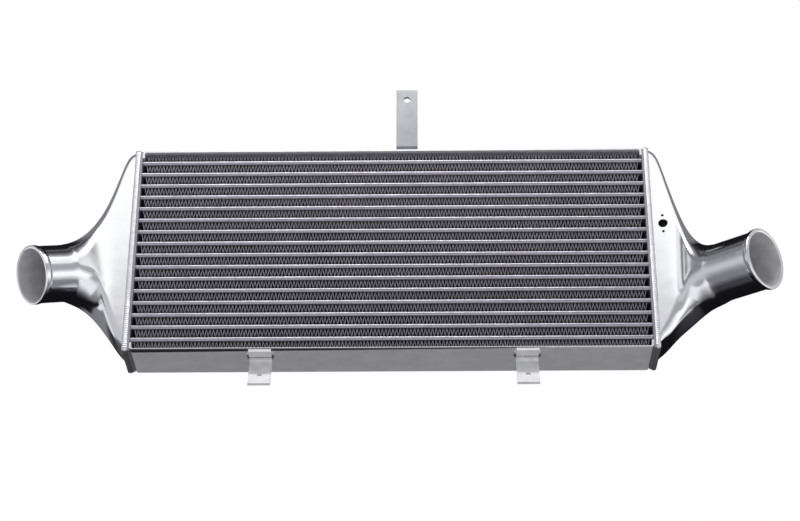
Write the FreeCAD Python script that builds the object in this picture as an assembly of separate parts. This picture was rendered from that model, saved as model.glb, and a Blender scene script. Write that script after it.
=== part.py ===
# Front-mount intercooler: a finned charge-air core between two cast aluminium end tanks,
# with hose spigots that turn forward and outward, and three welded mounting brackets.
# The pieces are drawn about the middle of the core, with X along the core, -Y out of its front
# face and +Z up. They are saved with the origin in the middle of the top bracket's hole, which
# is the point that the finished part hangs from.
# All sizes are in millimetres.
import FreeCAD, Part
import math
import os

Vector = FreeCAD.Vector

# Core: flat charge tubes stacked with fin rows between two side plates
core_width = 558.0
core_depth = 57.0
tube_count = 16
tube_height = 5.2
tube_wall = 0.7
tube_web_count = 1
tube_web = 0.8
tube_nose_bevel = 1.6
tube_setback = 2.2
fin_height = 9.45
fin_sheet = 0.35
fin_legs = 34
fin_setback = 1.8
fin_end_clearance = 0.5
side_plate = 2.0
side_plate_fold_radius = 2.0
side_plate_fold_length = 9.0

# Header plates that the tube ends pass through
header_plate = 3.0
header_corner = 3.0
braze_gap = 0.05

# Cast end tanks
tank_wall = 3.6
tank_step_top = 2.0
tank_step_front = 0.4
tank_mouth_roundness = 0.04
tank_start_pull = 30.0
tank_root_pull = 30.0

# Hose spigots: each lip's centre lies out, forward and down from the middle of the tank's joint.
# The turn is the angle forward in plan, and the dip is the angle below the level.
left_spigot_radius = 31.0
left_lip_rise = 1.0
left_lip_out = 104.0
left_lip_forward = 50.0
left_lip_down = 44.6
left_turn = 37.0
left_dip = 20.4
left_spigot_length = 42.0
right_spigot_radius = 31.6
right_lip_rise = 1.9
right_lip_out = 115.0
right_lip_forward = 73.3
right_lip_down = 42.4
right_turn = 43.1
right_dip = 4.1
right_spigot_length = 60.0
spigot_shoulder = 0.4
spigot_bore_wall = 2.6
hose_bead_height = 0.5
hose_bead_width = 5.0
hose_bead_setback = 5.0
spigot_lip_bevel = 0.7

# How each tank narrows from the core to its spigot, in order: share of the way along its
# middle line, how far it has turned to face along the spigot, share of the core's height left
# above and below, share of its depth left, and roundness. Roundness is the share of each flat
# side that its corners take: near 0 is a rectangle and near 1 is round.
left_stations = [(0.00, 0.00, 1.00, 1.00, 1.00, tank_mouth_roundness),
                 (0.09, 0.00, 0.995, 0.90, 1.00, 0.13),
                 (0.16, 0.01, 0.93, 0.83, 1.00, 0.19),
                 (0.25, 0.06, 0.68, 0.73, 0.99, 0.28),
                 (0.37, 0.17, 0.38, 0.59, 0.94, 0.40),
                 (0.54, 0.40, 0.15, 0.40, 0.74, 0.54),
                 (0.77, 0.78, 0.03, 0.14, 0.28, 0.77),
                 (1.00, 1.00, 0.00, 0.00, 0.00, 0.97)]
right_stations = [(0.00, 0.00, 1.00, 1.00, 1.00, tank_mouth_roundness),
                  (0.09, 0.00, 0.995, 0.89, 1.00, 0.13),
                  (0.16, 0.01, 0.94, 0.82, 1.00, 0.19),
                  (0.25, 0.06, 0.74, 0.71, 0.99, 0.28),
                  (0.37, 0.17, 0.46, 0.55, 0.94, 0.40),
                  (0.54, 0.40, 0.19, 0.34, 0.74, 0.54),
                  (0.77, 0.78, 0.03, 0.09, 0.28, 0.77),
                  (1.00, 1.00, 0.00, 0.00, 0.00, 0.97)]

# Weld bead round each joint between header plate and tank
weld_reach = 3.4
weld_height = 1.4
weld_edge = 0.6
weld_gap = 0.15

# Sensor port on the right tank
sensor_bore = 10.2
sensor_screw_hole = 3.0
sensor_screw_spacing = 20.0
sensor_out = 15.2
sensor_lift = 26.4

# Brackets bent from flat bar
bracket_width = 24.0
bracket_bar = 3.0
bracket_bend_inside = 2.5
top_bracket_place = 17.0
top_bracket_setback = 1.5
top_bracket_rise = 80.0
top_bracket_foot = 22.0
top_bracket_hole = 7.5
top_bracket_hole_from_end = 13.0
lower_left_place = -139.8
lower_right_place = 145.2
lower_foot = 24.0
lower_tab_length = 41.0
lower_tab_angle = 62.0
lower_tab_hole = 5.5
lower_tab_hole_from_end = 14.0
bracket_weld_length = 9.0
bracket_weld_radius = 2.6

# How far a cut runs past what it cuts
overcut = 2.0

# Sizes that follow from the ones above
row_pitch = tube_height + fin_height
stack_height = tube_count * tube_height + (tube_count + 1) * fin_height
core_height = stack_height + 2.0 * side_plate
half_width = core_width / 2.0
half_depth = core_depth / 2.0
half_height = core_height / 2.0
tube_depth = core_depth - 2.0 * tube_setback
fin_depth = tube_depth - 2.0 * fin_setback
joint_place = half_width + header_plate
top_bracket_front = -half_depth + top_bracket_setback
hanging_point = Vector(top_bracket_place, top_bracket_front + bracket_bar / 2.0,
                       half_height + top_bracket_rise - top_bracket_hole_from_end)

os.makedirs("parts", exist_ok=True)


def save(name, shape):
    """Writes one node as a STEP file, with the origin at the hanging point."""
    shape.translate(-hanging_point)
    shape.exportStep("parts/" + name + ".step")
    print(name, len(shape.Solids), "solid", round(shape.Volume, 1), "mm3")


def wire_face(points):
    """A flat face from corner points."""
    return Part.Face(Part.makePolygon(points + [points[0]]))


def tube_row_height(index):
    """Height of one charge tube's middle, counted from the top."""
    return (tube_count - 1) / 2.0 * row_pitch - index * row_pitch


def fin_row_height(index):
    """Height of one fin row's middle, counted from the top."""
    return tube_count / 2.0 * row_pitch - index * row_pitch


def slot_face(x, z, depth, height, bevel):
    """A flat slot with bevelled noses, standing across X: its length runs front to back."""
    y = depth / 2.0
    h = height / 2.0
    corners = [(-y, -h + bevel), (-y + bevel, -h), (y - bevel, -h), (y, -h + bevel),
               (y, h - bevel), (y - bevel, h), (-y + bevel, h), (-y, h - bevel)]
    return wire_face([Vector(x, a, z + b) for a, b in corners])


def make_charge_tube(z):
    """Extruded flat tube with bevelled noses and upright webs inside."""
    start = -joint_place
    skin = slot_face(start, z, tube_depth, tube_height, tube_nose_bevel)
    tube = skin.extrude(Vector(2.0 * joint_place, 0, 0))
    room = tube_depth - 2.0 * (tube_nose_bevel + tube_wall)
    channels = tube_web_count + 1
    width = (room - tube_web_count * tube_web) / channels
    for k in range(channels):
        y = -room / 2.0 + k * (width + tube_web)
        corner = Vector(start - overcut, y, z - tube_height / 2.0 + tube_wall)
        channel = Part.makeBox(2.0 * (joint_place + overcut), width, tube_height - 2.0 * tube_wall, corner)
        tube = tube.cut(channel)
    return tube


def make_fin_row(z):
    """Corrugated sheet that zigzags between the tubes above and below it."""
    run = core_width - 2.0 * (side_plate + side_plate_fold_radius + fin_end_clearance)
    leg = run / fin_legs
    rise = fin_sheet * math.hypot(leg, fin_height) / leg
    top = z + fin_height / 2.0
    low = z - fin_height / 2.0 + rise
    y = -fin_depth / 2.0
    upper = []
    for k in range(fin_legs + 1):
        upper.append(Vector(-run / 2.0 + k * leg, y, top if k % 2 else low))
    lower = [p - Vector(0, 0, rise) for p in reversed(upper)]
    face = wire_face(upper + lower)
    return face.extrude(Vector(0, fin_depth, 0))


def edges_across(shape, reach, z):
    """The straight front-to-back edges at the given reach either side of the middle and height."""
    found = []
    for edge in shape.Edges:
        middle = edge.CenterOfMass
        straight = abs(edge.Length - core_depth) < 1e-6 and abs(middle.y) < 1e-6
        if straight and abs(abs(middle.x) - reach) < 1e-6 and abs(middle.z - z) < 1e-6:
            found.append(edge)
    return found


def make_side_plate(side):
    """Long plate that closes the stack, its ends folded in against the header plates.
    side is 1 for the top and -1 for the bottom."""
    outside = side * half_height
    inside = side * (half_height - side_plate)
    tip = outside - side * side_plate_fold_length
    inner = side_plate_fold_radius
    outer = inner + side_plate
    ring = [Vector(-half_width, -half_depth, tip),
            Vector(-half_width, -half_depth, outside),
            Vector(half_width, -half_depth, outside),
            Vector(half_width, -half_depth, tip),
            Vector(half_width - side_plate, -half_depth, tip),
            Vector(half_width - side_plate, -half_depth, inside),
            Vector(-half_width + side_plate, -half_depth, inside),
            Vector(-half_width + side_plate, -half_depth, tip)]
    plate = wire_face(ring).extrude(Vector(0, core_depth, 0))
    plate = plate.makeFillet(outer, edges_across(plate, half_width, outside))
    return plate.makeFillet(inner, edges_across(plate, half_width - side_plate, inside))


# How far a curve's handles reach towards a corner when it stands for a quarter of an ellipse
quarter_handle = 0.5523


def section_ring(place, along, above, below, half_side, roundness):
    """Closed outline across the given direction: straight sides joined by elliptic corners."""
    side = along.cross(Vector(0, 0, 1)).normalize()
    up = side.cross(along).normalize()
    flat = 1.0 - roundness
    handle = roundness * quarter_handle
    corners = []
    for a, b in ((1, 1), (-1, 1), (-1, -1), (1, -1)):
        reach = side * (a * half_side)
        lift = up * (b * (above if b > 0 else below))
        upright = place + reach + lift * flat
        level = place + reach * flat + lift
        poles = [upright, upright + lift * handle, level + reach * handle, level]
        corners.append(poles if a * b > 0 else poles[::-1])
    edges = []
    for k, poles in enumerate(corners):
        curve = Part.BezierCurve()
        curve.setPoles(poles)
        edges.append(curve.toShape())
        edges.append(Part.makeLine(poles[-1], corners[(k + 1) % 4][0]))
    return Part.Wire(edges)


def header_blank(side):
    """Header plate before its slots: a flat plate with rounded corners."""
    x = half_width if side > 0 else -joint_place
    blank = Part.makeBox(header_plate, core_depth, core_height, Vector(x, -half_depth, -half_height))
    corners = [edge for edge in blank.Edges if abs(edge.BoundBox.XLength - header_plate) < 1e-6]
    return blank.makeFillet(header_corner, corners)


def make_header_plate(side):
    """Upright plate with one slot for each tube end. side is -1 for the left and 1 for the right."""
    plate = header_blank(side)
    x = plate.BoundBox.XMin - overcut
    slots = []
    for k in range(tube_count):
        opening = slot_face(x, tube_row_height(k), tube_depth + 2.0 * braze_gap,
                            tube_height + 2.0 * braze_gap, tube_nose_bevel)
        slots.append(opening.extrude(Vector(header_plate + 2.0 * overcut, 0, 0)))
    return plate.cut(Part.makeCompound(slots))


class Tank:
    """Where one cast tank's spigot points, how wide it is and how the body narrows to it.
    side is -1 for the left and 1 for the right."""

    def __init__(self, side, radius, lip_rise, out, forward, down, turn, dip, length, stations):
        self.side = side
        self.radius = radius
        self.lip_radius = radius + lip_rise
        self.length = length
        self.stations = stations
        self.start = Vector(side * joint_place, 0, 0)
        self.lip = self.start + Vector(side * out, -forward, -down)
        level = math.cos(math.radians(dip))
        self.axis = Vector(side * level * math.cos(math.radians(turn)),
                           -level * math.sin(math.radians(turn)),
                           -math.sin(math.radians(dip)))
        self.root = self.lip - self.axis * length


left = Tank(-1, left_spigot_radius, left_lip_rise, left_lip_out, left_lip_forward, left_lip_down,
            left_turn, left_dip, left_spigot_length, left_stations)
right = Tank(1, right_spigot_radius, right_lip_rise, right_lip_out, right_lip_forward, right_lip_down,
             right_turn, right_dip, right_spigot_length, right_stations)


def middle_line(tank, share):
    """Place on the smooth line from the joint's middle to the spigot's root."""
    p0 = tank.start
    p1 = p0 + Vector(tank.side * tank_start_pull, 0, 0)
    p3 = tank.root
    p2 = p3 - tank.axis * tank_root_pull
    rest = 1.0 - share
    return (p0 * rest ** 3 + p1 * (3.0 * rest * rest * share)
            + p2 * (3.0 * rest * share * share) + p3 * share ** 3)


def tank_ring(tank, station, inset):
    """One section of a tank, drawn in by inset."""
    share, turned, above, below, depth, roundness = station
    along = Vector(tank.side * (1.0 - turned), 0, 0) + tank.axis * turned
    along.normalize()
    neck = tank.radius + spigot_shoulder
    high = neck + (half_height - tank_step_top - neck) * above - inset
    low = neck + (half_height - tank_step_top - neck) * below - inset
    deep = neck + (half_depth - tank_step_front - neck) * depth - inset
    return section_ring(middle_line(tank, share), along, high, low, deep, roundness)


def make_tank_body(tank, inset=0.0):
    """Outer form of a tank, from the joint to the root of its spigot."""
    rings = [tank_ring(tank, station, inset) for station in tank.stations]
    return Part.makeLoft(rings, True, False, False, 3)


def close_stations(stations):
    """The same stations with one more set smoothly in the middle of each pair."""
    last = len(stations) - 1
    closer = [stations[0]]
    for k in range(last):
        four = [stations[min(max(n, 0), last)] for n in (k - 1, k, k + 1, k + 2)]
        closer.append([(9.0 * (b + c) - a - d) / 16.0 for a, b, c, d in zip(*four)])
        closer.append(stations[k + 1])
    return closer


def make_tank_room(tank):
    """The hollow inside a tank, running out through its mouth and a little way into the spigot.
    Straight walls between close sections are enough for the inside."""
    rings = [tank_ring(tank, station, tank_wall) for station in close_stations(tank.stations)]
    before = rings[0].copy()
    before.translate(Vector(-tank.side * overcut, 0, 0))
    after = rings[-1].copy()
    after.translate(tank.axis * overcut)
    return Part.makeLoft([before] + rings + [after], True, True)


def along_axis(tank, shape):
    """Stands a shape, made about Z at the origin, on the tank's spigot root."""
    shape.Placement = FreeCAD.Placement(tank.root, FreeCAD.Rotation(Vector(0, 0, 1), tank.axis))
    return shape


def make_spigot(tank):
    """Turned hose spigot that grows out of the tank's neck, with a hose bead behind its lip."""
    r = tank.radius
    lip_r = tank.lip_radius
    length = tank.length
    bead = length - hose_bead_setback
    profile = [(0.0, -overcut), (r, -overcut), (r, bead - hose_bead_width / 2.0),
               (lip_r + hose_bead_height, bead - hose_bead_width / 6.0),
               (lip_r + hose_bead_height, bead + hose_bead_width / 6.0),
               (lip_r, bead + hose_bead_width / 2.0), (lip_r, length - spigot_lip_bevel),
               (lip_r - spigot_lip_bevel, length), (0.0, length)]
    face = wire_face([Vector(reach, 0, height) for reach, height in profile])
    return along_axis(tank, face.revolve(Vector(0, 0, 0), Vector(0, 0, 1), 360))


def make_tank(tank):
    """One hollow casting: open mouth at the joint, body that narrows, and hose spigot."""
    bore = Part.makeCylinder(tank.radius - spigot_bore_wall, tank.length, Vector(0, 0, overcut / 2.0))
    casting = make_tank_body(tank).fuse(make_spigot(tank))
    return casting.cut(make_tank_room(tank)).cut(along_axis(tank, bore)).Solids[0]


def cut_sensor_port(casting, tank):
    """Sensor bore through the front wall, with a screw hole above and below it."""
    x = tank.side * (joint_place + sensor_out)
    front = -half_depth - overcut
    holes = [(sensor_bore, 0.0), (sensor_screw_hole, sensor_screw_spacing / 2.0),
             (sensor_screw_hole, -sensor_screw_spacing / 2.0)]
    for width, lift in holes:
        start = Vector(x, front, sensor_lift + lift)
        casting = casting.cut(Part.makeCylinder(width / 2.0, half_depth, start, Vector(0, 1, 0)))
    return casting.Solids[0]


def make_tank_weld(tank):
    """Weld bead right round the joint, from the header plate's rim to the tank."""
    out = Vector(tank.side, 0, 0)
    near = tank.stations[0]
    far = tank.stations[1]
    way = weld_reach / abs((middle_line(tank, far[0]) - tank.start).x)
    toe = [a + (b - a) * way for a, b in zip(near, far)]
    rings = []
    for place, rise in ((-header_plate, weld_edge), (-header_plate / 3.0, weld_height)):
        rings.append(section_ring(tank.start + out * place, out, half_height + rise, half_height + rise,
                                  half_depth + rise, tank_mouth_roundness))
    rings.append(tank_ring(tank, toe, -weld_edge))
    bead = Part.makeLoft(rings, True, True)
    return bead.cut(header_blank(tank.side)).cut(make_tank_body(tank, -weld_gap)).Solids[0]


def flat_bar(edges, place):
    """Bent flat bar: a closed outline in the YZ plane given as edges, as wide as the brackets."""
    face = Part.Face(Part.Wire(edges))
    face.translate(Vector(place - bracket_width / 2.0, 0, 0))
    return face.extrude(Vector(bracket_width, 0, 0))


def arc_about(y, z, radius, start, end):
    """Arc in the YZ plane about a centre, between two angles in degrees from +Y."""
    points = []
    for angle in (start, (start + end) / 2.0, end):
        a = math.radians(angle)
        points.append(Vector(0, y + radius * math.cos(a), z + radius * math.sin(a)))
    return points


def outline_edges(steps):
    """Edges of an outline: two places make a straight edge and three make an arc."""
    return [Part.makeLine(*step) if len(step) == 2 else Part.Arc(*step).toShape() for step in steps]


def make_top_bracket():
    """Upright bar with a hole near its top, bent back onto a foot on the top side plate."""
    y = top_bracket_front
    z = half_height
    inner = bracket_bend_inside
    outer = inner + bracket_bar
    outside = arc_about(y + outer, z + outer, outer, 270.0, 180.0)
    inside = arc_about(y + outer, z + outer, inner, 180.0, 270.0)
    foot = [Vector(0, y + top_bracket_foot, z + bracket_bar), Vector(0, y + top_bracket_foot, z)]
    end = [Vector(0, y, z + top_bracket_rise), Vector(0, y + bracket_bar, z + top_bracket_rise)]
    steps = [foot, (foot[1], outside[0]), outside, (outside[2], end[0]), end, (end[1], inside[0]),
             inside, (inside[2], foot[0])]
    bar = flat_bar(outline_edges(steps), top_bracket_place)
    start = hanging_point - Vector(0, bracket_bar / 2.0 + overcut, 0)
    hole = Part.makeCylinder(top_bracket_hole / 2.0, bracket_bar + 2.0 * overcut, start, Vector(0, 1, 0))
    return bar.cut(hole)


def make_lower_bracket(place):
    """Bar with its foot along the bottom side plate, folded at the back into a tab that hangs
    down and forward, with a hole near its end."""
    z = -half_height
    inner = bracket_bend_inside
    outer = inner + bracket_bar
    y = -half_depth + lower_foot - outer
    middle = z - outer
    turned = lower_tab_angle - 90.0
    angle = math.radians(lower_tab_angle)
    along = Vector(0, -math.cos(angle), -math.sin(angle))
    run = lower_tab_length - outer
    outside = arc_about(y, middle, outer, 90.0, turned)
    inside = arc_about(y, middle, inner, turned, 90.0)
    foot = [Vector(0, -half_depth, z - bracket_bar), Vector(0, -half_depth, z)]
    end = [outside[2] + along * run, inside[0] + along * run]
    steps = [foot, (foot[1], outside[0]), outside, (outside[2], end[0]), end, (end[1], inside[0]),
             inside, (inside[2], foot[0])]
    bar = flat_bar(outline_edges(steps), place)
    across = Vector(0, -math.sin(angle), math.cos(angle))
    centre = inside[0] + along * (run - lower_tab_hole_from_end) + Vector(place, 0, 0)
    reach = bracket_bar + overcut
    hole = Part.makeCylinder(lower_tab_hole / 2.0, 2.0 * reach, centre - across * reach, across)
    return bar.cut(hole)


def make_bracket_welds(place, side):
    """A short quarter-round bead along each side of a bracket's foot, in the corner with the
    side plate. side is 1 on top and -1 underneath."""
    beads = []
    r = bracket_weld_radius
    y = -half_depth + lower_foot - bracket_bend_inside - bracket_bar - bracket_weld_length
    for way in (-1, 1):
        corner = Vector(place + way * bracket_width / 2.0, y, side * half_height)
        steps = []
        for angle in (0.0, 45.0, 90.0):
            a = math.radians(angle)
            steps.append(corner + Vector(way * r * math.cos(a), 0, side * r * math.sin(a)))
        face = Part.Face(Part.Wire(outline_edges([(corner, steps[0]), steps, (steps[2], corner)])))
        beads.append(face.extrude(Vector(0, bracket_weld_length, 0)))
    return Part.makeCompound(beads)


for k in range(tube_count):
    save("charge_tube_%02d" % (k + 1), make_charge_tube(tube_row_height(k)))
for k in range(tube_count + 1):
    save("fin_row_%02d" % (k + 1), make_fin_row(fin_row_height(k)))
save("top_side_plate", make_side_plate(1))
save("bottom_side_plate", make_side_plate(-1))

save("left_header_plate", make_header_plate(-1))
save("right_header_plate", make_header_plate(1))
save("left_tank", make_tank(left))
save("right_tank", cut_sensor_port(make_tank(right), right))
save("left_tank_weld", make_tank_weld(left))
save("right_tank_weld", make_tank_weld(right))

save("top_bracket", make_top_bracket())
save("lower_left_bracket", make_lower_bracket(lower_left_place))
save("lower_right_bracket", make_lower_bracket(lower_right_place))
save("top_bracket_weld", make_bracket_welds(top_bracket_place, 1))
save("lower_left_bracket_weld", make_bracket_welds(lower_left_place, -1))
save("lower_right_bracket_weld", make_bracket_welds(lower_right_place, -1))
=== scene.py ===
"""Front-mount intercooler, dressed for a studio photograph taken from below its front face.

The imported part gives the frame. The pieces whose finish or curvature needs more than the plain
solids are worked out here again as numpy surfaces: the fine fins, the round-nosed tubes, the
rippled weld beads and the two cast tanks.
"""

# %% [markdown]
# # An intercooler in Blender
# A front-mount intercooler is a radiator for the air that an engine breathes. Flat tubes carry
# the hot air across, thin folded fins between them give the heat away, and a cast tank at each
# end gathers the air into a round spigot for a hose. All of it is bare aluminium, so nearly
# everything that the eye sees is a reflection. That makes two things matter: smooth surfaces,
# and what stands around them.

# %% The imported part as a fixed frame
import math

import bmesh
import bpy
import numpy as np
from mathutils import Matrix, Vector


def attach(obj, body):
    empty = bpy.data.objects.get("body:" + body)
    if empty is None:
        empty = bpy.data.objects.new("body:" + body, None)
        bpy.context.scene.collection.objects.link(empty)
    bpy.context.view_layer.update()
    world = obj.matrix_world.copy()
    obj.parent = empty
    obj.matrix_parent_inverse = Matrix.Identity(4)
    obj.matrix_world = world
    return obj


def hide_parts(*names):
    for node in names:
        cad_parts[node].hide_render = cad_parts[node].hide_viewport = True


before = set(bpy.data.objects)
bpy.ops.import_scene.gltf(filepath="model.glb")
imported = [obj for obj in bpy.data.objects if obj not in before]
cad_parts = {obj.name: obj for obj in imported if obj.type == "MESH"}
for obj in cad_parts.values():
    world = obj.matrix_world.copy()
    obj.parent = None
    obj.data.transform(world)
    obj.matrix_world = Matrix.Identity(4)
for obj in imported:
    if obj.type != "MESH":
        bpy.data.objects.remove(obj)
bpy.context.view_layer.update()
MM = 0.001
# the core's middle, in millimetres from the frame's origin in the top bracket's hole
CORE = np.array((-17.0, 25.5, -190.925))
print(len(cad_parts), "CAD nodes")

# %% [markdown]
# Sizes are written here once, in millimetres about the middle of the core, as the part's own
# source has them. Every surface below is worked out from these.

# %% Sizes of the real pieces
core_width, core_depth, core_height = 558.0, 57.0, 247.85
tube_count, tube_height, fin_height = 16, 5.2, 9.45
row_pitch = tube_height + fin_height
header_plate = 3.0
tube_depth, fin_depth = 52.6, 49.0
joint_x = core_width / 2 + header_plate
half = np.array((core_width / 2, core_depth / 2, core_height / 2))
core_bottom = CORE[2] - half[2]
print("core", core_width, "x", core_depth, "x", core_height, "mm,", tube_count, "tubes at", row_pitch, "mm")

# %% [markdown]
# A surface is a grid of points. One helper turns a grid into a mesh with quads between
# neighbours, and closes it round in either direction when asked. Writing the vertex and face
# arrays in one go with `foreach_set` is fast and keeps the shape in plain formulas.

# %% Grids to meshes
def quads(rows, columns, round_rows, round_columns, start=0):
    """Corner numbers of the quads between neighbouring points of a grid."""
    r = np.arange(rows if round_rows else rows - 1)
    c = np.arange(columns if round_columns else columns - 1)
    r, c = np.meshgrid(r, c, indexing="ij")
    below, beside = (r + 1) % rows, (c + 1) % columns
    faces = np.stack([r * columns + c, below * columns + c, below * columns + beside,
                      r * columns + beside], -1)
    return faces.reshape(-1, 4) + start


def make_mesh(name, points, faces, sharp=40.0):
    """A mesh object from points in millimetres about the core's middle, smooth but for edges
    that turn by more than sharp degrees."""
    points = (np.asarray(points, float).reshape(-1, 3) + CORE) * MM
    faces = np.asarray(faces, np.int32)
    mesh = bpy.data.meshes.new(name)
    mesh.vertices.add(len(points))
    mesh.vertices.foreach_set("co", points.astype(np.float32).ravel())
    mesh.loops.add(faces.size)
    mesh.loops.foreach_set("vertex_index", faces.ravel())
    mesh.polygons.add(len(faces))
    mesh.polygons.foreach_set("loop_start", np.arange(0, faces.size, faces.shape[1], dtype=np.int32))
    mesh.update(calc_edges=True)
    mesh.polygons.foreach_set("use_smooth", np.ones(len(faces), bool))
    mesh.set_sharp_from_angle(angle=math.radians(sharp))
    mesh.validate()
    thing = bpy.data.objects.new(name, mesh)
    bpy.context.scene.collection.objects.link(thing)
    return thing


def place(thing, node_names):
    """Lets a piece stand for the solids that it dresses, riding on the one body there is."""
    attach(thing, "root")
    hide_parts(*node_names)
    print(thing.name, len(thing.data.polygons), "faces")
    return thing


# %% [markdown]
# Colours are written as the hex values that a paint program shows and turned to linear light
# by one function. One more function adds a shader node with its settings and links, and the two
# kinds that come up most, a sum and a colour ramp, have a short form of it.

# %% Colours and shader nodes
def colour(code):
    """Linear colour from an sRGB hex code: each channel is undone by the sRGB curve."""
    channels = [int(code[k:k + 2], 16) / 255 for k in (0, 2, 4)]
    return [c / 12.92 if c <= 0.04045 else ((c + 0.055) / 1.055) ** 2.4 for c in channels] + [1.0]


def add(tree, kind, settings=None, **links):
    """Adds a node, sets its properties and fills its sockets with values or other sockets."""
    node = tree.nodes.new(kind)
    for key, value in (settings or {}).items():
        setattr(node, key, value)
    for key, value in links.items():
        name = key.replace("_", " ")
        socket = node.inputs[int(key[1:])] if key[1:].isdigit() else node.inputs[name]
        if isinstance(value, bpy.types.NodeSocket):
            tree.links.new(value, socket)
        else:
            socket.default_value = value
    return node


def maths(tree, operation, first, second=0.5, clamp=False):
    """Result of one sum on two sockets or numbers."""
    node = add(tree, "ShaderNodeMath", {"operation": operation, "use_clamp": clamp}, i0=first, i1=second)
    return node.outputs[0]


def ramp(tree, factor, stops):
    """Colour ramp through (place, hex) stops."""
    node = add(tree, "ShaderNodeValToRGB", Fac=factor)
    band = node.color_ramp
    band.elements[0].position, band.elements[0].color = stops[0][0], colour(stops[0][1])
    band.elements[1].position, band.elements[1].color = stops[-1][0], colour(stops[-1][1])
    for spot, code in stops[1:-1]:
        band.elements.new(spot).color = colour(code)
    return node.outputs["Color"]


def new_material(name, metallic=1.0):
    """An empty metal material: its tree, its shader and its object coordinates."""
    material = bpy.data.materials.new(name)
    material.use_nodes = True
    tree = material.node_tree
    tree.nodes.clear()
    out = add(tree, "ShaderNodeOutputMaterial")
    shader = add(tree, "ShaderNodeBsdfPrincipled", Metallic=metallic)
    tree.links.new(shader.outputs["BSDF"], out.inputs["Surface"])
    where = add(tree, "ShaderNodeTexCoord").outputs["Object"]
    return material, tree, shader, where


# %% [markdown]
# ## Finishes
# The tanks are cast aluminium, ground and buffed until they mirror softly. Buffing leaves very
# fine streaks and a slight waviness, which bends the reflections. A noise of a few centimetres
# gives the waviness and one of about a millimetre the streaks.

# %% Buffed cast aluminium
def buffed_aluminium(name, base="E6E7E9", rough=0.14, wave=0.10):
    """Soft mirror with a slow waviness and fine buffing streaks."""
    material, tree, shader, where = new_material(name)
    slow = add(tree, "ShaderNodeTexNoise", Vector=where, Scale=28.0, Detail=2.0)
    streak_place = add(tree, "ShaderNodeMapping", Vector=where)
    streak_place.inputs["Scale"].default_value = (60.0, 400.0, 1400.0)
    streak = add(tree, "ShaderNodeTexNoise", Vector=streak_place.outputs["Vector"], Scale=1.0,
                 Detail=4.0)
    rough_out = add(tree, "ShaderNodeMapRange", Value=streak.outputs["Fac"], To_Min=rough * 0.75,
                    To_Max=rough * 1.3)
    tree.links.new(rough_out.outputs["Result"], shader.inputs["Roughness"])
    shader.inputs["Base Color"].default_value = colour(base)
    bump = add(tree, "ShaderNodeBump", Height=slow.outputs["Fac"], Strength=wave, Distance=0.004)
    fine = add(tree, "ShaderNodeBump", Height=streak.outputs["Fac"], Strength=0.05, Distance=0.0003,
               Normal=bump.outputs["Normal"])
    tree.links.new(fine.outputs["Normal"], shader.inputs["Normal"])
    return material


tank_finish = buffed_aluminium("buffed_cast_aluminium")
print("made", tank_finish.name)

# %% [markdown]
# Sheet, tube and bar stock keep the mill's finish: duller, with faint rolling marks along the
# length and small clouds where the braze has wetted it.

# %% Mill-finish aluminium
def mill_aluminium(name, light, dark, rough, metallic, cloud_mm=18.0):
    """Dull metal with rolling marks stretched along X and soft clouds. A lower metallic share
    stands for the chalky film that brazing leaves, which scatters light."""
    material, tree, shader, where = new_material(name, metallic)
    clouds = add(tree, "ShaderNodeTexNoise", Vector=where, Scale=1000.0 / cloud_mm, Detail=5.0)
    tone = ramp(tree, clouds.outputs["Fac"], [(0.3, dark), (0.7, light)])
    tree.links.new(tone, shader.inputs["Base Color"])
    stretch = add(tree, "ShaderNodeMapping", Vector=where)
    stretch.inputs["Scale"].default_value = (90.0, 1080.0, 1080.0)
    lines = add(tree, "ShaderNodeTexNoise", Vector=stretch.outputs["Vector"], Scale=1.0, Detail=3.0)
    rough_out = add(tree, "ShaderNodeMapRange", Value=lines.outputs["Fac"], To_Min=rough * 0.8,
                    To_Max=rough * 1.25)
    tree.links.new(rough_out.outputs["Result"], shader.inputs["Roughness"])
    bump = add(tree, "ShaderNodeBump", Height=lines.outputs["Fac"], Strength=0.12, Distance=0.0004)
    tree.links.new(bump.outputs["Normal"], shader.inputs["Normal"])
    return material


plate_finish = mill_aluminium("mill_finish_plate", "EEEEF3", "E0E0E6", rough=0.4, metallic=0.32)
tube_finish = mill_aluminium("brazed_tube", "A9A7B0", "9B99A2", rough=0.32, cloud_mm=9.0, metallic=0.85)
fin_finish = mill_aluminium("fin_sheet", "C4C1CC", "B2AFBA", rough=0.45, cloud_mm=40.0, metallic=0.35)
header_finish = mill_aluminium("header_sheet", "98979F", "88878F", rough=0.45, metallic=0.5)
top_bracket_finish = mill_aluminium("satin_bar", "8F9094", "828387", rough=0.42, metallic=0.85)
bracket_finish = mill_aluminium("blasted_bar", "F0F0F2", "E2E3E6", rough=0.6, metallic=0.2, cloud_mm=9.0)
weld_finish = mill_aluminium("weld_aluminium", "E0E0E3", "C8C8CE", rough=0.3, cloud_mm=5.0, metallic=0.9)
bore_finish = mill_aluminium("cast_inside", "ECECEE", "D2D2D6", rough=0.5, metallic=0.35, cloud_mm=12.0)
for finish in (plate_finish, tube_finish, fin_finish, header_finish, top_bracket_finish, bracket_finish,
               weld_finish, bore_finish):
    print("made", finish.name)

# %% [markdown]
# Two kinds of piece carry a painted shade on their finish: a dark mark that stands for shade. A mark is a
# mask worked out from the place in X, Y and Z, and the base colour is mixed towards a dark one where the
# mask is one. So a mark needs a copy of the finish, and the mask is the only part that differs.

# %% Painted shade marks on a finish
def copy_to_mark(finish, name):
    """Copy of a finish, with its tree and its object coordinates, whole and as X, Y and Z."""
    material = finish.copy()
    material.name = name
    tree = material.node_tree
    where = next(node for node in tree.nodes if node.type == "TEX_COORD").outputs["Object"]
    return material, tree, where, add(tree, "ShaderNodeSeparateXYZ", Vector=where).outputs


def fade(tree, value, nought, one):
    """Goes from 0 to 1 while a value goes from one number to another."""
    return add(tree, "ShaderNodeMapRange", Value=value, From_Min=nought, From_Max=one).outputs["Result"]


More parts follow.
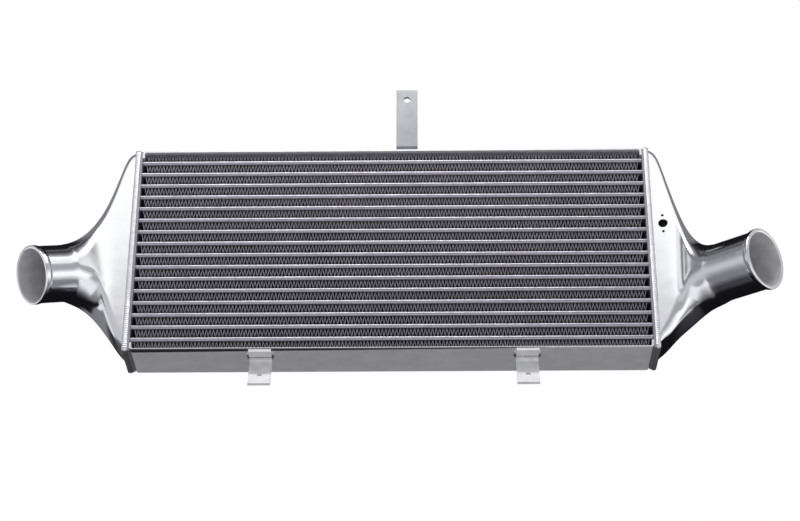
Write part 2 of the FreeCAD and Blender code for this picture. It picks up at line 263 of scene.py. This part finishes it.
def darken(tree, mask, code):
    """Paints shade: mixes the base colour towards a darker one by a mask."""
    shader = next(node for node in tree.nodes if node.type == "BSDF_PRINCIPLED")
    clean = shader.inputs["Base Color"].links[0].from_socket
    tone = add(tree, "ShaderNodeMix", {"data_type": "RGBA"}, i0=mask, i6=clean, i7=colour(code))
    tree.links.new(tone.outputs[2], shader.inputs["Base Color"])


# %% [markdown]
# The lower side plate carries a painted shade just behind its front fold: a dark streak that
# stands for the shade in the fold. It is 7 mm wide at the left end and runs out about four fifths of the
# way along.

# %% Painted shade behind the lower plate's fold
def paint_fold_shade(finish, streak_width, streak_end):
    """The mask of the painted shade is one where the distance behind the front edge is less than the
    streak's width at that place, and only on the plate's underside."""
    material, tree, where, at = copy_to_mark(finish, "fold_shaded_" + finish.name)
    width = add(tree, "ShaderNodeMapRange", Value=at["X"], From_Min=(CORE[0] - half[0]) * MM,
                From_Max=(CORE[0] + streak_end) * MM, To_Min=streak_width * MM, To_Max=0.0)
    behind = maths(tree, "SUBTRACT", at["Y"], (CORE[1] - half[1]) * MM)
    left_over = maths(tree, "SUBTRACT", width.outputs["Result"], behind)
    near = fade(tree, left_over, -0.3 * MM, 0.3 * MM)
    low = fade(tree, at["Z"], (core_bottom + 1.5) * MM, (core_bottom + 0.9) * MM)
    # painted shade: the fold's shade is darkened into the base colour here
    darken(tree, maths(tree, "MULTIPLY", near, low), "454549")
    return material


plate_finish_with_fold_shade = paint_fold_shade(plate_finish, 7.0, 170.0)
print("made", plate_finish_with_fold_shade.name)

# %% [markdown]
# A broken dark line 1.5 mm wide is painted across the foot of each lower bracket, a little in
# front of the bend: painted shade of the crease there. The tab that hangs below passes
# under the line again, so the mask is also kept above a height just under the foot.

# %% Painted crease shade on the lower brackets
def crease_shaded_line(finish, y, width):
    """The mask of the painted crease shade is one in a band across Y on the foot, and a noise breaks it up.
    """
    material, tree, where, at = copy_to_mark(finish, "crease_shaded_" + finish.name)
    away = maths(tree, "ABSOLUTE", maths(tree, "SUBTRACT", at["Y"], (CORE[1] + y) * MM))
    near = fade(tree, away, width * 0.6 * MM, width * 0.4 * MM)
    patches = add(tree, "ShaderNodeTexNoise", Vector=where, Scale=160.0, Detail=1.0)
    broken = fade(tree, patches.outputs["Fac"], 0.38, 0.46)
    foot = maths(tree, "GREATER_THAN", at["Z"], (core_bottom - 4.5) * MM)
    # painted shade: the crease's shade is darkened into the base colour here
    darken(tree, maths(tree, "MULTIPLY", maths(tree, "MULTIPLY", near, broken), foot), "4C4A47")
    return material


crease_shaded_finish = crease_shaded_line(bracket_finish, -14.0, 1.5)
print("made", crease_shaded_finish.name)

# %% [markdown]
# ## The fins
# Each fin row is a thin strip folded to and fro between two tubes, with a leg every 1.9 mm.
# From the front only its cut edge shows, as a fine zigzag. The path is a triangle wave with its
# peaks flattened a little, and the strip's two faces lie half its thickness either side.

# %% Fine fins
leg_pitch, fin_sheet = 1.92, 0.28
fin_run = core_width - 9.0
leg_count = int(round(fin_run / leg_pitch))


def fin_strip(name, z):
    """Closed strip: a clipped triangle wave in X and Z, thickened along its normal, then carried
    straight from the front of the core to the back."""
    per_leg = 3
    t = np.arange(leg_count * per_leg + 1) / per_leg
    saw = np.abs((t % 2.0) - 1.0) * 2.0 - 1.0
    wave = np.clip(saw * 1.06, -1.0, 1.0)
    x = -fin_run / 2 + t * fin_run / leg_count
    reach = fin_height / 2 - fin_sheet / 2
    path = np.stack([x, wave * reach], -1)
    step = np.gradient(path, axis=0)
    side = np.stack([-step[:, 1], step[:, 0]], -1)
    side /= np.linalg.norm(side, axis=1, keepdims=True)
    loop = np.concatenate([path + side * fin_sheet / 2, (path - side * fin_sheet / 2)[::-1]])
    loop[:, 1] = np.clip(loop[:, 1], -fin_height / 2, fin_height / 2)
    grid = np.zeros((2, len(loop), 3))
    grid[:, :, 0], grid[:, :, 2] = loop[:, 0], loop[:, 1] + z
    grid[0, :, 1], grid[1, :, 1] = -fin_depth / 2, fin_depth / 2
    n = len(loop)
    walls = quads(2, n, False, True)[:, ::-1]
    k = np.arange(n // 2 - 1)
    front = np.stack([k, k + 1, n - 2 - k, n - 1 - k], -1)
    back = front[:, ::-1] + n
    return make_mesh(name, grid, np.concatenate([walls, front, back]), sharp=20.0)


for k in range(tube_count + 1):
    fin = fin_strip("fine_fins_%02d" % (k + 1), tube_count / 2 * row_pitch - k * row_pitch)
    fin.data.materials.append(fin_finish)
    place(fin, ["fin_row_%02d" % (k + 1)])

# %% [markdown]
# ## The tubes
# The tubes are drawn flat with a round nose. Light from above draws a bright line on the upper
# half of each nose, which is the strongest pattern on the whole core.

# %% Round-nosed tubes
def tube_bar(name, z):
    """Closed flat bar with half-round noses: the outline of a slot, carried along the core."""
    turn = np.linspace(-math.pi / 2, math.pi / 2, 13)
    r = tube_height / 2
    nose = np.stack([tube_depth / 2 - r + r * np.cos(turn), r * np.sin(turn)], -1)
    loop = np.concatenate([nose, -nose])
    ends = (-joint_x, joint_x)
    grid = np.zeros((2, len(loop), 3))
    for row, x in enumerate(ends):
        grid[row, :, 0], grid[row, :, 1], grid[row, :, 2] = x, loop[:, 0], loop[:, 1] + z
    n = len(loop)
    walls = quads(2, n, False, True)[:, ::-1]
    k = np.arange(n // 2 - 1)
    left_end = np.stack([k, k + 1, n - 2 - k, n - 1 - k], -1)
    right_end = left_end[:, ::-1] + n
    return make_mesh(name, grid, np.concatenate([walls, left_end, right_end]))


for k in range(tube_count):
    height = (tube_count - 1) / 2 * row_pitch - k * row_pitch
    tube = tube_bar("round_nosed_tube_%02d" % (k + 1), height)
    tube.data.materials.append(tube_finish)
    place(tube, ["charge_tube_%02d" % (k + 1)])

# %% [markdown]
# ## The cast tanks
# A tank starts as a tall narrow box and ends as a round pipe that points forward and out. Each
# section across it has straight sides and elliptic corners. Along the tank, the share that the
# corners take grows until the section is round, and the sections turn to face along the spigot.

# %% Sections of a tank
quarter = np.linspace(0.0, math.pi / 2, 15)
straight = np.linspace(0.0, 1.0, 9)[1:-1]


def smooth(values, shares, at):
    """Values between stations by a natural cubic spline. Its bends at the stations solve one set
    of equations that keeps slope and bend the same on both sides of each."""
    values = np.asarray(values, float)
    h = np.diff(shares)
    n = len(values)
    table, right_side = np.eye(n), np.zeros(n)
    for k in range(1, n - 1):
        table[k, k - 1:k + 2] = h[k - 1], 2 * (h[k - 1] + h[k]), h[k]
        slopes = np.diff(values[k - 1:k + 2]) / h[k - 1:k + 1]
        right_side[k] = 6 * (slopes[1] - slopes[0])
    bend = np.linalg.solve(table, right_side)
    k = np.clip(np.searchsorted(shares, at, side="right") - 1, 0, n - 2)
    a, b, w = shares[k + 1] - at, at - shares[k], h[k]
    return ((bend[k] * a ** 3 + bend[k + 1] * b ** 3) / (6 * w)
            + (values[k] / w - bend[k] * w / 6) * a + (values[k + 1] / w - bend[k + 1] * w / 6) * b)


def ring(centre, along, above, below, deep, roundness):
    """Points round a section: four elliptic corners with straight sides between them."""
    side = np.cross(along, (0.0, 0.0, 1.0))
    side /= np.linalg.norm(side)
    up = np.cross(side, along)
    flat = 1.0 - roundness
    pieces = []
    for a, b in ((1, 1), (-1, 1), (-1, -1), (1, -1)):
        turn = quarter if a * b > 0 else quarter[::-1]
        u, v = flat + roundness * np.cos(turn), flat + roundness * np.sin(turn)
        pieces.append(np.stack([a * deep * u, b * (above if b > 0 else below) * v], -1))
    loop = []
    for k in range(4):
        here, then = pieces[k], pieces[(k + 1) % 4]
        loop += [here, here[-1] + (then[0] - here[-1]) * straight[:, None]]
    loop = np.concatenate(loop)
    return centre + loop[:, :1] * side + loop[:, 1:] * up, loop


class Tank:
    """The sizes that tell one tank from the other, as in the part's source."""

    def __init__(self, side, radius, lip_rise, out, forward, down, turn, dip, length, stations):
        self.side, self.radius, self.lip_radius = side, radius, radius + lip_rise
        self.length, self.stations = length, np.array(stations)
        self.start = np.array((side * joint_x, 0.0, 0.0))
        self.lip = self.start + (side * out, -forward, -down)
        turn, dip = math.radians(turn), math.radians(dip)
        self.axis = np.array((side * math.cos(dip) * math.cos(turn), -math.cos(dip) * math.sin(turn),
                              -math.sin(dip)))
        self.root = self.lip - self.axis * length


left = Tank(-1, 31.0, 1.0, 104.0, 50.0, 44.6, 37.0, 20.4, 42.0,
            [(0.00, 0.00, 1.00, 1.00, 1.00, 0.04), (0.09, 0.00, 0.995, 0.90, 1.00, 0.13),
             (0.16, 0.01, 0.93, 0.83, 1.00, 0.19), (0.25, 0.06, 0.68, 0.73, 0.99, 0.28),
             (0.37, 0.17, 0.38, 0.59, 0.94, 0.40), (0.54, 0.40, 0.15, 0.40, 0.74, 0.54),
             (0.77, 0.78, 0.03, 0.14, 0.28, 0.77), (1.00, 1.00, 0.00, 0.00, 0.00, 0.97)])
right = Tank(1, 31.6, 1.9, 115.0, 73.3, 42.4, 43.1, 4.1, 60.0,
             [(0.00, 0.00, 1.00, 1.00, 1.00, 0.04), (0.09, 0.00, 0.995, 0.89, 1.00, 0.13),
              (0.16, 0.01, 0.94, 0.82, 1.00, 0.19), (0.25, 0.06, 0.74, 0.71, 0.99, 0.28),
              (0.37, 0.17, 0.46, 0.55, 0.94, 0.40), (0.54, 0.40, 0.19, 0.34, 0.74, 0.54),
              (0.77, 0.78, 0.03, 0.09, 0.28, 0.77), (1.00, 1.00, 0.00, 0.00, 0.00, 0.97)])

print("tanks:", len(left.stations), "and", len(right.stations), "stations")

# %% [markdown]
# A station holds the share along the middle line, how far the section has turned to face along
# the spigot, how much of the box's height above, below and depth is left, and the corners' share.
# Splines through the stations give every ring between them. The spigot's rings are plain circles.

# %% Rings of a tank
tank_wall, bore_wall, shoulder, step_top, step_front = 3.6, 2.6, 0.4, 2.0, 0.4


def body_rings(tank, inset, shares):
    """Rings of a tank's body at shares of its middle line, a cubic from the joint to the root."""
    columns = [smooth(tank.stations[:, k], tank.stations[:, 0], shares) for k in range(1, 6)]
    neck = tank.radius + shoulder
    p0, p3 = tank.start, tank.root
    p1, p2 = p0 + np.array((tank.side * 30.0, 0.0, 0.0)), p3 - tank.axis * 30.0
    rings = []
    for s, turned, above, below, depth, roundness in zip(shares, *columns):
        centre = p0 * (1 - s) ** 3 + p1 * 3 * (1 - s) ** 2 * s + p2 * 3 * (1 - s) * s * s + p3 * s ** 3
        along = np.array((tank.side * (1 - turned), 0.0, 0.0)) + tank.axis * turned
        along /= np.linalg.norm(along)
        high = neck + (half[2] - step_top - neck) * above - inset
        low = neck + (half[2] - step_top - neck) * below - inset
        deep = neck + (half[1] - step_front - neck) * depth - inset
        rings.append(ring(centre, along, high, low, deep, roundness)[0])
    return rings


def spigot_rings(tank, profile):
    """Rings about the spigot's axis through (height above the root, radius) pairs. They start
    at the same angles as the body's last ring, so the two join without a twist."""
    side = np.cross(tank.axis, (0.0, 0.0, 1.0))
    side /= np.linalg.norm(side)
    up = np.cross(side, tank.axis)
    loop = ring(np.zeros(3), tank.axis, 1.0, 1.0, 1.0, 0.97)[1]
    loop /= np.linalg.norm(loop, axis=1, keepdims=True)
    around = loop[:, :1] * side + loop[:, 1:] * up
    return [tank.root + tank.axis * height + around * radius for height, radius in profile]


# %% [markdown]
# The whole casting is one closed skin. It runs from the joint along the outside to the lip,
# turns over the lip, and comes back along the bore and the inside to the joint. Rings of equal
# point count are stacked in that order, so the skin closes in both directions.

# %% Tank skins
def arc_steps(h0, r0, h1, r1, bulge, count):
    """(height, radius) pairs on a low bow between two points: a sine hump added to a line."""
    t = np.linspace(0.0, 1.0, count)
    return list(zip(h0 + (h1 - h0) * t, r0 + (r1 - r0) * t + bulge * np.sin(math.pi * t)))


def tank_skin(name, tank):
    """Closed skin of one casting, outside first and inside back to the joint."""
    shares = np.linspace(0.0, 1.0, 72) ** 0.9
    r, lip, length = tank.radius, tank.lip_radius, tank.length
    bore = r - bore_wall
    outside = [(h, r + shoulder * (1 - h / 10.0) ** 2) for h in (2.0, 4.0, 6.0, 8.0, 10.0)]
    outside += [(length - 8.2, r)] + arc_steps(length - 7.5, r, length - 2.6, lip - 0.1, 0.55, 9)
    outside += [(length - 1.4, lip), (length - 0.5, lip - 0.1), (length - 0.1, lip - 0.4),
                (length, lip - 0.9)]
    inside = [(length, bore + 0.6), (length - 0.3, bore + 0.15), (length - 0.9, bore),
              (length * 0.5, bore), (2.0, bore), (1.0, bore), (1.0, r + shoulder - tank_wall)]
    outer = body_rings(tank, 0.0, shares) + spigot_rings(tank, outside)
    rings = outer + spigot_rings(tank, inside) + body_rings(tank, tank_wall, shares[::-2])
    grid = np.stack(rings)
    faces = quads(grid.shape[0], grid.shape[1], True, True)
    if tank.side < 0:
        faces = faces[:, ::-1]
    skin = make_mesh(name, grid, faces, sharp=35.0)
    skin.data.materials.append(tank_finish)
    skin.data.materials.append(bore_finish)
    row = np.arange(len(faces)) // grid.shape[1]
    within = (row >= len(outer)) & (row < len(rings) - 1)
    skin.data.polygons.foreach_set("material_index", within.astype(np.int32))
    return skin


left_skin = tank_skin("left_tank_skin", left)
right_skin = tank_skin("right_tank_skin", right)

# %% [markdown]
# The right tank has a port for a temperature sensor in its front wall, with a small screw hole
# above and below. Three round bars are taken away from the skin by a Boolean, and the result is
# kept as a plain mesh.

# %% Sensor port
def bore(skin, x, z, radius, depth):
    """Takes a round bar along Y away from the skin's front wall."""
    turn = np.linspace(0.0, 2 * math.pi, 48, endpoint=False)
    circle = np.stack([x + radius * np.cos(turn), np.zeros(48), z + radius * np.sin(turn)], -1)
    grid = np.stack([circle + (0, -half[1] - 6.0, 0), circle + (0, -half[1] + depth, 0)])
    bar = make_mesh("bar", grid, quads(2, 48, False, True))
    mesh = bmesh.new()
    mesh.from_mesh(bar.data)
    bmesh.ops.holes_fill(mesh, edges=mesh.edges)
    bmesh.ops.recalc_face_normals(mesh, faces=mesh.faces)
    mesh.to_mesh(bar.data)
    mesh.free()
    cut = skin.modifiers.new("bore", "BOOLEAN")
    cut.object, cut.operation, cut.solver = bar, "DIFFERENCE", "EXACT"
    shaped = skin.evaluated_get(bpy.context.evaluated_depsgraph_get())
    skin_mesh = bpy.data.meshes.new_from_object(shaped)
    skin.modifiers.remove(cut)
    skin.data = skin_mesh
    bpy.data.objects.remove(bar)


port_x, port_z, port_radius = 297.2, 26.4, 5.1
screw_rise, screw_radius, bore_depth = 10.0, 1.5, 8.0
for rise, radius in ((0.0, port_radius), (screw_rise, screw_radius), (-screw_rise, screw_radius)):
    bore(right_skin, port_x, port_z + rise, radius, bore_depth)
right_skin.data.set_sharp_from_angle(angle=math.radians(35.0))
place(left_skin, ["left_tank"])
place(right_skin, ["right_tank"])

# %% [markdown]
# ## The weld beads
# Each tank is welded on all the way round, so a bead follows a rounded rectangle. The path is
# worked out first, as evenly spaced points with the direction that faces outwards at each.

# %% Path of a bead
def rounded_path(deep, high, corner, step):
    """Evenly spaced points and outward directions round a rounded rectangle in Y and Z."""
    a, b = deep - corner, high - corner
    bend = np.linspace(0.0, math.pi / 2, 40)
    points, normals = [], []
    for k, (sy, sz) in enumerate(((1, 1), (-1, 1), (-1, -1), (1, -1))):
        turn = bend + k * math.pi / 2
        n = np.stack([np.cos(turn), np.sin(turn)], -1)
        points.append(np.array((sy * a, sz * b)) + n * corner)
        normals.append(n)
    points, normals = np.concatenate(points), np.concatenate(normals)
    points = np.vstack([points, points[:1]])
    normals = np.vstack([normals, normals[:1]])
    run = np.concatenate([[0.0], np.cumsum(np.linalg.norm(np.diff(points, axis=0), axis=1))])
    s = np.linspace(0.0, run[-1], int(run[-1] / step), endpoint=False)
    out = [np.interp(s, run, column) for column in (*points.T, *normals.T)]
    normal = np.stack(out[2:], -1)
    return s, np.stack(out[:2], -1), normal / np.linalg.norm(normal, axis=1, keepdims=True)


# %% [markdown]
# A hand-laid bead is a row of overlapping puddles. Seen along its length it looks like a stack
# of coins pushed over: each ripple is a crescent that bows back towards where the weld began.
# The bead's height is a low dome across, with a saw-tooth along that is bent into crescents. The
# ripples were ground nearly away on the upper part and stand clear only lower down. The left bead
# is a little wider, and its ripples begin further down than the right one's.

# %% Weld beads round the joints
def bead_mesh(name, side, seed):
    """Bead round a tank's joint: dome across, crescents along, wandering a little by chance."""
    pitch, width, height, knot_count = 2.6, 5.9 - 0.5 * side, 1.35, 90
    s, spot, normal = rounded_path(half[1], half[2], 3.0, 0.33)
    chance = np.random.default_rng(seed)
    knots = chance.normal(0.0, 1.0, knot_count)
    wander = np.interp(s, np.linspace(0.0, s[-1], knot_count), knots)
    wander -= np.interp(s, (0.0, s[-1]), (wander[0], wander[-1]))
    v = np.linspace(-1.0, 1.0, 13)
    phase = ((s[:, None] + 0.35 * wander[:, None]) + 1.1 * v[None, :] ** 2) / pitch
    tooth = phase - np.floor(phase)
    ripple = np.sin(math.pi * np.clip(tooth * 1.15, 0.0, 1.0)) ** 0.6
    dome = np.sqrt(np.clip(1.0 - v ** 2 * 0.92, 0.0, None))[None, :]
    lower = np.clip((-15.0 + 30.0 * side - spot[:, 1:]) / 30.0, 0.0, 1.0)
    share = 0.06 + 0.2 * lower
    lift = height * dome * (1.0 - share + share * ripple)
    lift[:, [0, -1]] = -0.25
    middle = side * (joint_x + 1.85 - 0.25 * side)
    x = middle + (v * width / 2)[None, :] * (1.0 + 0.04 * wander[:, None])
    top = np.stack([x, spot[:, :1] + normal[:, :1] * lift, spot[:, 1:] + normal[:, 1:] * lift], -1)
    under = top[:, ::-1][:, 1:-1].copy()
    sunk = -0.6
    under[:, :, 1] = spot[:, :1] + normal[:, :1] * sunk
    under[:, :, 2] = spot[:, 1:] + normal[:, 1:] * sunk
    grid = np.concatenate([top, under[:, ::4]], axis=1)
    return make_mesh(name, grid, quads(grid.shape[0], grid.shape[1], True, True), sharp=60.0)


for name, side, seed in (("left", -1, 3), ("right", 1, 8)):
    bead = bead_mesh(name + "_weld_bead", side, seed)
    bead.data.materials.append(weld_finish)
    place(bead, [name + "_tank_weld"])

# %% [markdown]
# ## The plain pieces
# The side plates, header plates, brackets and their short welds are right as solids, so they
# stay as they are and only get their finish.

# %% Finishes on the plain pieces
plain = {plate_finish: ("top_side_plate",),
         plate_finish_with_fold_shade: ("bottom_side_plate",),
         header_finish: ("left_header_plate", "right_header_plate"),
         top_bracket_finish: ("top_bracket",),
         crease_shaded_finish: ("lower_left_bracket", "lower_right_bracket"),
         weld_finish: ("top_bracket_weld", "lower_left_bracket_weld", "lower_right_bracket_weld")}
for finish, names in plain.items():
    for name in names:
        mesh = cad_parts[name].data
        mesh.materials.clear()
        mesh.materials.append(finish)
        print(name, "gets", finish.name)

# %% [markdown]
# ## Light
# Polished metal shows what stands round it. A photographer puts such a part in a white tent and
# hangs black card where a dark band is wanted, because without any dark the round forms would
# vanish. Here the world is the white tent, and one curved card over the top, round the back and
# underneath is what the metal mirrors as black. The card is for the metal alone: the camera, the
# shadows and the scattered light don't meet it.

# %% World
world = bpy.data.worlds.new("white_tent")
bpy.context.scene.world = world
world.use_nodes = True
tree = world.node_tree
tree.nodes.clear()
out = add(tree, "ShaderNodeOutputWorld")
white = (1.0, 1.0, 1.0, 1.0)
tent_light = 0.55
scattered = add(tree, "ShaderNodeBackground", Color=white, Strength=tent_light)
background = add(tree, "ShaderNodeBackground", Color=white, Strength=1.0)
path = add(tree, "ShaderNodeLightPath").outputs
seen = maths(tree, "ADD", path["Is Camera Ray"], path["Is Glossy Ray"])
seen = maths(tree, "ADD", seen, path["Is Transmission Ray"], clamp=True)
mix = add(tree, "ShaderNodeMixShader", Fac=seen, i1=scattered.outputs[0], i2=background.outputs[0])
tree.links.new(mix.outputs["Shader"], out.inputs["Surface"])
print("made", world.name)

# %% [markdown]
# The card is a long roll about the core. Its tone is read from its angle: 0 is straight in front,
# 90 above, 180 behind and 270 below. Seven tones are enough, from a black card to a white one: it
# is black above, behind and underneath and pale in front. Lists of (angle, tone) follow one
# another along the roll, because each spigot looks out sideways: the left one mirrors the right
# end of the roll, and the right one the left end. Where a band begins and ends was matched to the
# photo, by tracing rays off the metal onto the roll, and then rounded to 5 degrees. The tones are
# seven round numbers, with straight fades between them.

# %% Tones of the card
black, charcoal, slate, grey, pale, bright, white_card = 15, 50, 120, 160, 190, 230, 255
middle_shades = [(15, pale), (20, pale), (30, white_card), (60, white_card), (70, slate), (80, charcoal),
                 (85, black), (90, slate), (95, black), (240, black), (255, charcoal), (270, slate),
                 (290, bright), (325, bright), (345, pale), (375, pale)]
cloudy_shades = [(15, grey), (30, white_card), (55, white_card), (70, slate), (80, charcoal), (100, black),
                 (240, black), (260, slate), (290, bright), (325, bright), (345, grey), (375, grey)]
right_shades = [(15, grey), (40, grey), (45, white_card), (70, slate), (150, slate), (160, black),
                (240, black), (250, slate), (275, slate), (320, white_card), (345, white_card), (375, grey)]
left_shades = [(10, pale), (60, slate), (150, slate), (160, black), (240, black), (255, charcoal),
               (270, slate), (285, slate), (330, pale), (370, pale)]
print("card tones", black, charcoal, slate, grey, pale, bright, white_card)

# %% [markdown]
# A few paler stretches stand further out, like windows and a second card. They light the lips, the
# lower edges of both tanks and the hollow beside the right spigot. Each is a list with one tone
# put between two angles. The last two numbers of a part are places along the roll in metres:
# where the list begins to come in, and where it has come in fully.

# %% Stretches along the card
def lit(shades, first, last, tone, soft=5):
    """The same tones, but with another one between two angles, and soft degrees to fade there."""
    angles, tones = zip(*shades)
    edges = [(a, int(np.interp(a, angles, tones))) for a in (first - soft, last + soft)]
    kept = [(a, t) for a, t in shades if a < first - soft or a > last + soft]
    return sorted(kept + edges + [(first, tone), (last, tone)])


left_near, left_far = lit(left_shades, 38, 54, bright), lit(left_shades, 80, 98, bright)
card_parts = [(left_near, -0.6, -0.85), (lit(left_near, 160, 208, slate), -0.8, -1.05),
              (lit(left_far, 160, 208, slate), -1.5, -1.75), (lit(left_far, 160, 208, bright), -1.9, -2.3),
              (lit(left_shades, 80, 260, pale), -3.7, -4.3),
              (cloudy_shades, -0.3, 0.1), (right_shades, 0.6, 0.85),
              (lit(right_shades, 172, 232, charcoal), 0.95, 1.15),
              (lit(right_shades, 80, 250, pale), 1.5, 2.3),
              (lit(right_shades, 80, 300, white_card), 3.4, 4.2)]
print(len(card_parts), "stretches beside the middle one")

# %% [markdown]
# The roll's shader turns the place into an angle, the angle into a tone, and mixes from stretch to
# stretch along X. The mesh is a plain open cylinder that only the metal's reflections meet.

# %% Black card
def shade_round(tree, turned, shades):
    """Tone of the card at each angle, from a list that starts and ends at the same place."""
    first, last = shades[0][0], shades[-1][0]
    wrapped = maths(tree, "FLOORED_MODULO", maths(tree, "SUBTRACT", turned, float(first)), 360.0)
    share = maths(tree, "DIVIDE", wrapped, float(last - first))
    return ramp(tree, share, [((a - first) / (last - first), "%02X%02X%02X" % (t, t, min(t + 5, 255)))
                              for a, t in shades])


def tent_card(name, radius, half_length, strength, steps=144):
    """A closed roll of card: the angle runs round the X axis through the core, X along it."""
    round_it = np.linspace(0.0, 2 * math.pi, steps, endpoint=False)
    angle, x = np.meshgrid(round_it, (-half_length, half_length), indexing="ij")
    grid = np.stack([x, -radius * np.cos(angle), radius * np.sin(angle)], -1)
    card = make_mesh(name, grid, quads(steps, 2, True, False))
    card.visible_camera = card.visible_diffuse = card.visible_shadow = card.visible_transmission = False
    material = bpy.data.materials.new(name + "_shade")
    material.use_nodes = True
    tree = material.node_tree
    tree.nodes.clear()
    where = add(tree, "ShaderNodeTexCoord").outputs["Object"]
    at = add(tree, "ShaderNodeSeparateXYZ", Vector=where).outputs
    back = maths(tree, "SUBTRACT", at["Y"], float(CORE[1] * MM))
    up = maths(tree, "SUBTRACT", at["Z"], float(CORE[2] * MM))
    degrees = maths(tree, "DEGREES", maths(tree, "ARCTAN2", up, maths(tree, "MULTIPLY", back, -1.0)))
    mixed = shade_round(tree, degrees, middle_shades)
    for shades, begins, ends in card_parts:
        mixed = add(tree, "ShaderNodeMix", {"data_type": "RGBA"}, i0=fade(tree, at["X"], begins, ends),
                    i6=mixed, i7=shade_round(tree, degrees, shades)).outputs[2]
    glow = add(tree, "ShaderNodeEmission", Color=mixed, Strength=strength)
    end = add(tree, "ShaderNodeOutputMaterial")
    tree.links.new(glow.outputs[0], end.inputs["Surface"])
    card.data.materials.append(material)
    print(name, "all round, from", -half_length, "to", half_length, "mm")


tent_card("black_card", 1150.0, 9000.0, 1.25)

# %% [markdown]
# One narrow softbox hangs above and in front, just wide enough for the core. It draws the bright
# line along the upper edge of every tube, and both spigots look past its ends.

# %% Softbox
def softbox(name, at, towards, size_x, size_y, power):
    """A long soft lamp at a place in metres about the core's middle, facing another place."""
    lamp = bpy.data.lights.new(name, "AREA")
    lamp.shape, lamp.size, lamp.size_y, lamp.energy = "RECTANGLE", size_x, size_y, power
    thing = bpy.data.objects.new(name, lamp)
    bpy.context.scene.collection.objects.link(thing)
    spot = Vector(at) + Vector(CORE * MM)
    thing.location = spot
    facing = Vector(towards) + Vector(CORE * MM) - spot
    thing.rotation_euler = facing.to_track_quat("-Z", "Y").to_euler()
    print(name, size_x, "x", size_y, "m,", power, "W")


softbox("overhead_softbox", (-0.05, -0.56, 0.83), (-0.05, 0.0, 0.0), 0.8, 0.1, 5.2)

# %% [markdown]
# ## Floor
# The part hangs by its top bracket, so the pale floor lies well below it, under the camera.

# %% Floor
floor_drop, reach = 1350.0, 4
floor_mesh = bpy.data.meshes.new("floor")
z = (CORE[2] - floor_drop) * MM
corners = [(-reach, -reach, z), (reach, -reach, z), (reach, reach, z), (-reach, reach, z)]
floor_mesh.from_pydata(corners, [], [(0, 1, 2, 3)])
floor = bpy.data.objects.new("floor", floor_mesh)
bpy.context.scene.collection.objects.link(floor)
floor_material = bpy.data.materials.new("pale_floor")
floor_material.use_nodes = True
floor_shader = floor_material.node_tree.nodes["Principled BSDF"]
floor_shader.inputs["Base Color"].default_value = colour("D8D8D8")
floor_shader.inputs["Roughness"].default_value = 0.9
floor_mesh.materials.append(floor_material)
print("floor", floor_drop, "mm below the core's middle")

# %% [markdown]
# ## Camera
# The photograph was taken from below and a little to the right of the middle. Fitting the core's
# straight edges and both round lips gives the place, the angles and the lens.

# %% Camera
yaw, pitch, roll = 0.015136792, 0.497956769, 0.001353104
stand = np.array((38.148, -1930.944, -1052.159))
focal_px, picture_px = 1992.98, 800.0
forward = np.array((-math.sin(yaw) * math.cos(pitch), math.cos(yaw) * math.cos(pitch), math.sin(pitch)))
rightward = np.array((math.cos(yaw), math.sin(yaw), 0.0))
upward = np.cross(rightward, forward)
r = rightward * math.cos(roll) + upward * math.sin(roll)
u = -rightward * math.sin(roll) + upward * math.cos(roll)
turn = Matrix([[r[k], u[k], -forward[k]] for k in range(3)])
camera = bpy.data.cameras.new("camera")
camera.sensor_width = 36.0
camera.lens = focal_px / picture_px * camera.sensor_width
camera_thing = bpy.data.objects.new("camera", camera)
bpy.context.scene.collection.objects.link(camera_thing)
camera_thing.location = (stand + CORE) * MM
camera_thing.rotation_euler = turn.to_euler()
camera.clip_start, camera.clip_end = 0.05, 50.0
bpy.context.scene.camera = camera_thing
bpy.context.scene.view_settings.view_transform = "Standard"
print("camera with a lens of", round(camera.lens, 1), "mm")
